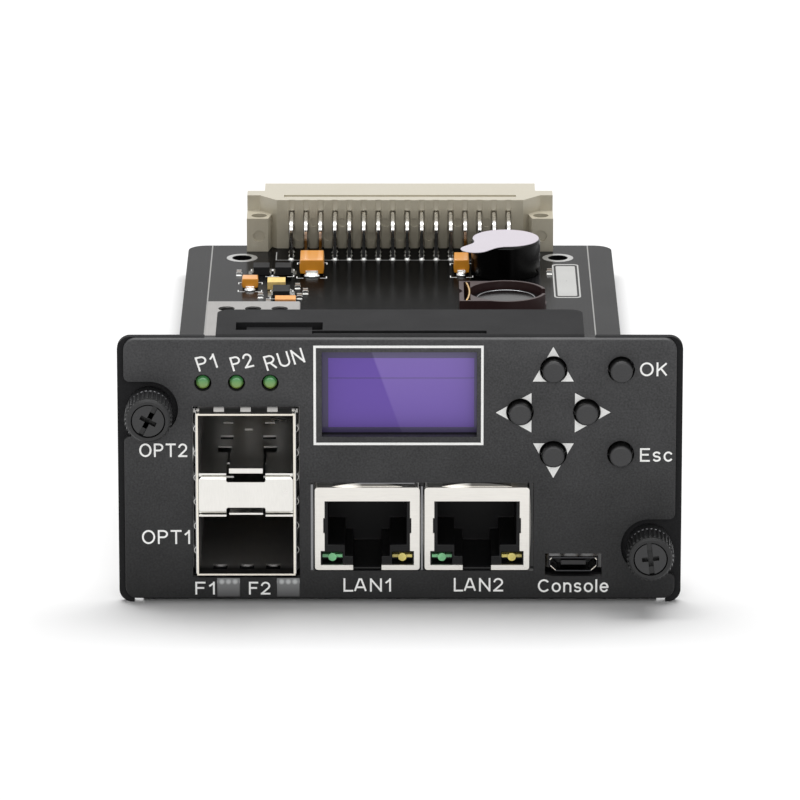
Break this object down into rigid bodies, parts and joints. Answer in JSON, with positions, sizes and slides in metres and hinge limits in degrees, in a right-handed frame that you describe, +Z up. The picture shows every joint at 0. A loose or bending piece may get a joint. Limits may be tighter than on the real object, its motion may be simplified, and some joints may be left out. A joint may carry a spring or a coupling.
{
  "type": "lan management unit",
  "caption": "Plug-in network management card: black front panel with display, round keys, status lights, stacked module cage, network jacks and thumbscrews; board with rear pin plug.",
  "frame": {"origin": "bottom centre of the overall box, level with the underside of the panel's lower flange", "axes": "+X to the viewer's right across the panel, +Y from the panel towards the rear plug, +Z up"},
  "size_m": [0.085, 0.2072, 0.0417],
  "materials": {
    "bracket_black": "fine textured black coat",
    "fascia_black": "fine textured black coat",
    "frosted_window": "frosted",
    "ferrule_steel": "dark plated",
    "knob_black": "knurled, satin black",
    "screw_black": "blackened",
    "ring_steel": "plain",
    "board_black": "black solder mask",
    "spacer_brass": "plain",
    "small_screw_steel": "zinc plated",
    "display_glass": "dark glass",
    "display_cap": "dark violet film",
    "carrier_black": "moulded",
    "flex_amber": "film",
    "status_green": "diffused lens",
    "light_holder": "moulded",
    "switch_black": "moulded",
    "switch_steel": "stamped",
    "key_black": "satin moulding",
    "header_black": "moulded",
    "contact_gold": "gold flash",
    "cage_steel": "nickel plated sheet",
    "gasket_spring": "bright spring strip",
    "socket_black": "moulded",
    "jack_tin": "bright tin plate",
    "jack_black": "moulded",
    "jack_green": "diffused lens",
    "jack_amber": "diffused lens",
    "console_steel": "dark plated sheet",
    "tongue_black": "moulded",
    "plug_grey": "glass filled moulding",
    "plug_pin": "plated",
    "buzzer_black": "moulded",
    "label_white": "plain",
    "holder_brown": "moulded",
    "cell_steel": "satin",
    "clip_gold": "gold flash",
    "tantalum_orange": "moulded",
    "terminal_tin": "tinned",
    "chip_black": "moulded",
    "chip_part": "ceramic and tin"
  },
  "bodies": {
    "card": {"front_bracket": "bracket_black", "front_fascia": "fascia_black", "port_light_windows": "frosted_window", "screw_ferrules": "ferrule_steel", "main_board": "board_black", "display_board": "board_black", "display_board_spacers": "spacer_brass", "main_board_posts": "spacer_brass", "display_board_screws": "small_screw_steel", "main_board_screws": "small_screw_steel", "backplane_screws": "small_screw_steel", "display_glass": "display_glass", "display_cap": "display_cap", "display_carrier": "carrier_black", "display_flex": "flex_amber", "status_lights": "status_green", "status_light_holders": "light_holder", "switch_bases": "switch_black", "switch_covers": "switch_steel", "link_header": "header_black", "link_header_pins": "contact_gold", "cage_contacts": "contact_gold", "jack_contacts": "contact_gold", "cage_shell": "cage_steel", "cage_divider": "cage_steel", "cage_gasket": "gasket_spring", "cage_connector": "socket_black", "left_jack_shield": "jack_tin", "right_jack_shield": "jack_tin", "left_jack_insert": "jack_black", "right_jack_insert": "jack_black", "jack_green_lights": "jack_green", "jack_amber_lights": "jack_amber", "console_shell": "console_steel", "console_tongue": "tongue_black", "backplane_housing": "plug_grey", "backplane_pins": "plug_pin", "buzzer_case": "buzzer_black", "buzzer_label": "label_white", "cell_holder": "holder_brown", "coin_cell": "cell_steel", "cell_clip": "clip_gold", "tantalum_capacitors": "tantalum_orange", "tantalum_terminals": "terminal_tin", "processor": "chip_black", "memory_chips": "chip_black", "small_chips": "chip_black", "chip_components": "chip_part"},
    "up_key": {"up_button": "key_black"},
    "down_key": {"down_button": "key_black"},
    "left_key": {"left_button": "key_black"},
    "right_key": {"right_button": "key_black"},
    "ok_key": {"ok_button": "key_black"},
    "escape_key": {"escape_button": "key_black"},
    "left_ring": {"left_retaining_ring": "ring_steel"},
    "left_screw": {"left_captive_screw": "screw_black", "left_knob": "knob_black"},
    "right_ring": {"right_retaining_ring": "ring_steel"},
    "right_screw": {"right_captive_screw": "screw_black", "right_knob": "knob_black"}
  },
  "joints": [
    {"name": "up_press", "type": "slide", "parent": "card", "child": "up_key", "axis": [0, 1, 0], "range_m": [0, 0.00025], "stiffness_N_per_m": 2000},
    {"name": "down_press", "type": "slide", "parent": "card", "child": "down_key", "axis": [0, 1, 0], "range_m": [0, 0.00025], "stiffness_N_per_m": 2000},
    {"name": "left_press", "type": "slide", "parent": "card", "child": "left_key", "axis": [0, 1, 0], "range_m": [0, 0.00025], "stiffness_N_per_m": 2000},
    {"name": "right_press", "type": "slide", "parent": "card", "child": "right_key", "axis": [0, 1, 0], "range_m": [0, 0.00025], "stiffness_N_per_m": 2000},
    {"name": "ok_press", "type": "slide", "parent": "card", "child": "ok_key", "axis": [0, 1, 0], "range_m": [0, 0.00025], "stiffness_N_per_m": 2000},
    {"name": "escape_press", "type": "slide", "parent": "card", "child": "escape_key", "axis": [0, 1, 0], "range_m": [0, 0.00025], "stiffness_N_per_m": 2000},
    {"name": "left_screw_draw", "type": "slide", "parent": "card", "child": "left_ring", "axis": [0, 1, 0], "range_m": [-0.004, 0]},
    {"name": "left_screw_turn", "type": "hinge", "parent": "left_ring", "child": "left_screw", "pos_m": [-0.03765, -0.0971, 0.0307], "axis": [0, 1, 0], "continuous": true},
    {"name": "right_screw_draw", "type": "slide", "parent": "card", "child": "right_ring", "axis": [0, 1, 0], "range_m": [-0.004, 0]},
    {"name": "right_screw_turn", "type": "hinge", "parent": "right_ring", "child": "right_screw", "pos_m": [0.03765, -0.0971, 0.0091], "axis": [0, 1, 0], "continuous": true}
  ]
}
